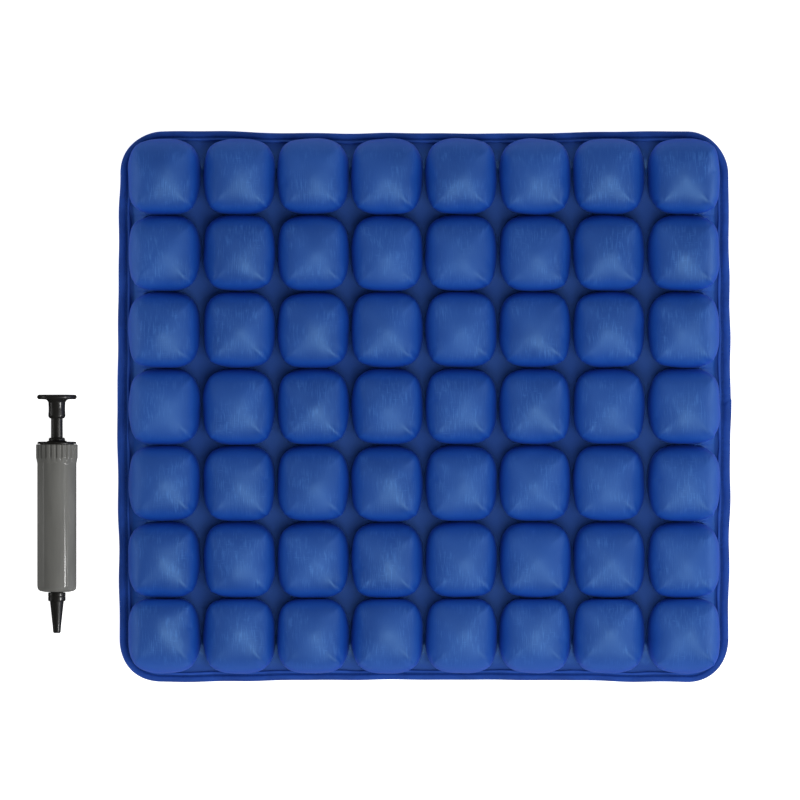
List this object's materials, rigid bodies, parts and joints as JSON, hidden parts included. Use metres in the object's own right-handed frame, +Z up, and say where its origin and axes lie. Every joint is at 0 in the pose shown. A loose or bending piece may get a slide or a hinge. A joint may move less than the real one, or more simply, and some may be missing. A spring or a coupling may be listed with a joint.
{
  "type": "pressure relief mattress",
  "caption": "Seat-size pressure relief air cushion of raised fabric air cells with a bound edge and a valve, and its hand pump.",
  "frame": {"origin": "centre of the cushion's underside, on the surface that it lies on", "axes": "+X along the cushion's longer side, away from the pump; +Y towards the rear edge; +Z up through the air cells"},
  "size_m": [0.5087, 0.406, 0.047],
  "materials": {
    "cell_fabric": "satin knit face laminated to film",
    "binding_tape": "matt woven tape",
    "thread": "twisted thread with a slight sheen",
    "base_film": "satin film",
    "base_fabric": "matt woven cloth with rubbery dots",
    "valve_plastic": "matt moulded",
    "grey_plastic": "satin gloss moulded",
    "black_plastic": "gloss moulded",
    "seal_rubber": "matt"
  },
  "bodies": {
    "cushion": {"air_cell_row_1": "cell_fabric", "air_cell_row_2": "cell_fabric", "air_cell_row_3": "cell_fabric", "air_cell_row_4": "cell_fabric", "air_cell_row_5": "cell_fabric", "air_cell_row_6": "cell_fabric", "air_cell_row_7": "cell_fabric", "bladder_base_film": "base_film", "bottom_fabric": "base_fabric", "edge_binding": "binding_tape", "edge_stitching": "thread", "valve_body": "valve_plastic"},
    "flap": {"valve_flap": "seal_rubber"},
    "plug": {"valve_plug": "valve_plastic"},
    "pump": {"pump_barrel": "grey_plastic", "pump_end_cap": "black_plastic", "pump_nozzle": "black_plastic"},
    "check_disc": {"pump_check_disc": "seal_rubber"},
    "plunger": {"piston_rod": "black_plastic", "pump_handle": "black_plastic", "piston_head": "grey_plastic", "piston_cup_seal": "seal_rubber"}
  },
  "joints": [
    {"name": "valve_flap_swing", "type": "hinge", "parent": "cushion", "child": "flap", "pos_m": [0.1828, -0.168, 0.0123], "axis": [0, -1, 0], "range_deg": [0, 35]},
    {"name": "valve_plug_swing", "type": "hinge", "parent": "cushion", "child": "plug", "pos_m": [0.176, -0.168, 0.0008], "axis": [0, 1, 0], "range_deg": [0, 150]},
    {"name": "pump_lift", "type": "slide", "parent": "cushion", "child": "pump", "axis": [0, 0, 1], "range_m": [0, 0.15]},
    {"name": "plunger_stroke", "type": "slide", "parent": "pump", "child": "plunger", "axis": [0, 1, 0], "range_m": [-0.0135, 0.0755]},
    {"name": "check_disc_travel", "type": "slide", "parent": "pump", "child": "check_disc", "axis": [0, 1, 0], "range_m": [-0.0018, 0]}
  ]
}
